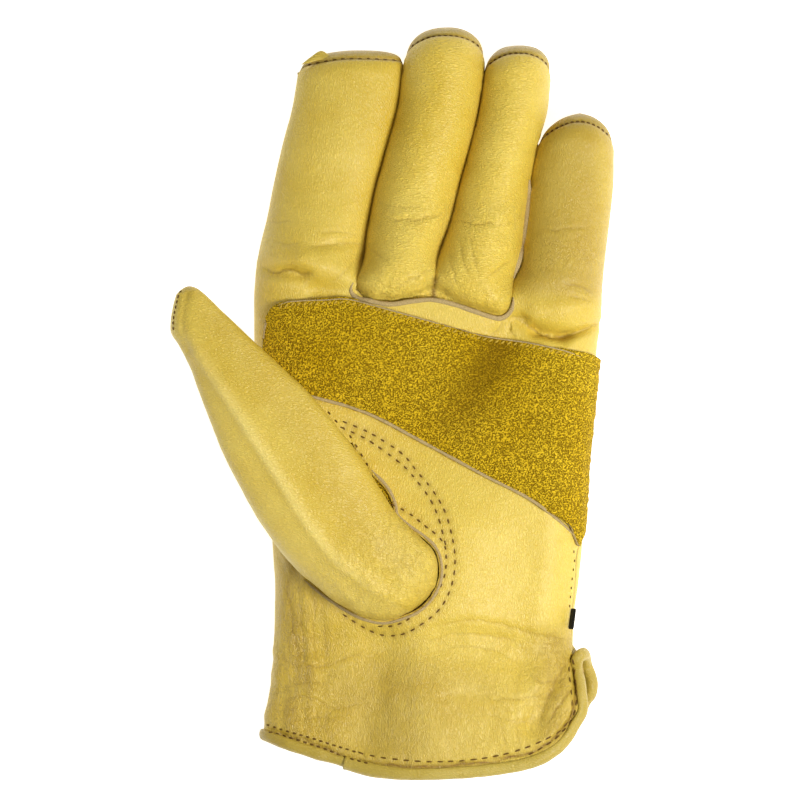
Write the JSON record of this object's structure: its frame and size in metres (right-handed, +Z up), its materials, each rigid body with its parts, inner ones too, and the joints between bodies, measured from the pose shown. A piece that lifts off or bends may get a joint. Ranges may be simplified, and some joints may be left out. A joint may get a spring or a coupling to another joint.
{
  "type": "leather driver glove",
  "caption": "Left-hand work glove of golden grain leather lying palm up, with a suede palm patch, keystone thumb and a rolled cuff with a side slit.",
  "frame": {"origin": "on the resting surface, under the middle of the bounding box", "axes": "+Z up out of the palm, +Y towards the fingertips, +X towards the little finger"},
  "size_m": [0.1508, 0.2556, 0.0458],
  "materials": {
    "grain_leather": "satin",
    "suede": "napped",
    "binding_leather": "satin",
    "black_tape": "matte"
  },
  "bodies": {
    "root": {"palm_panel": "grain_leather", "back_panel": "grain_leather", "middle_finger_front": "grain_leather", "ring_finger_front": "grain_leather", "fourchette_index_middle": "grain_leather", "fourchette_middle_ring": "grain_leather", "fourchette_ring_little": "grain_leather", "thumb": "grain_leather", "palm_patch": "suede", "cuff_binding": "binding_leather", "side_tab": "black_tape"}
  },
  "joints": []
}
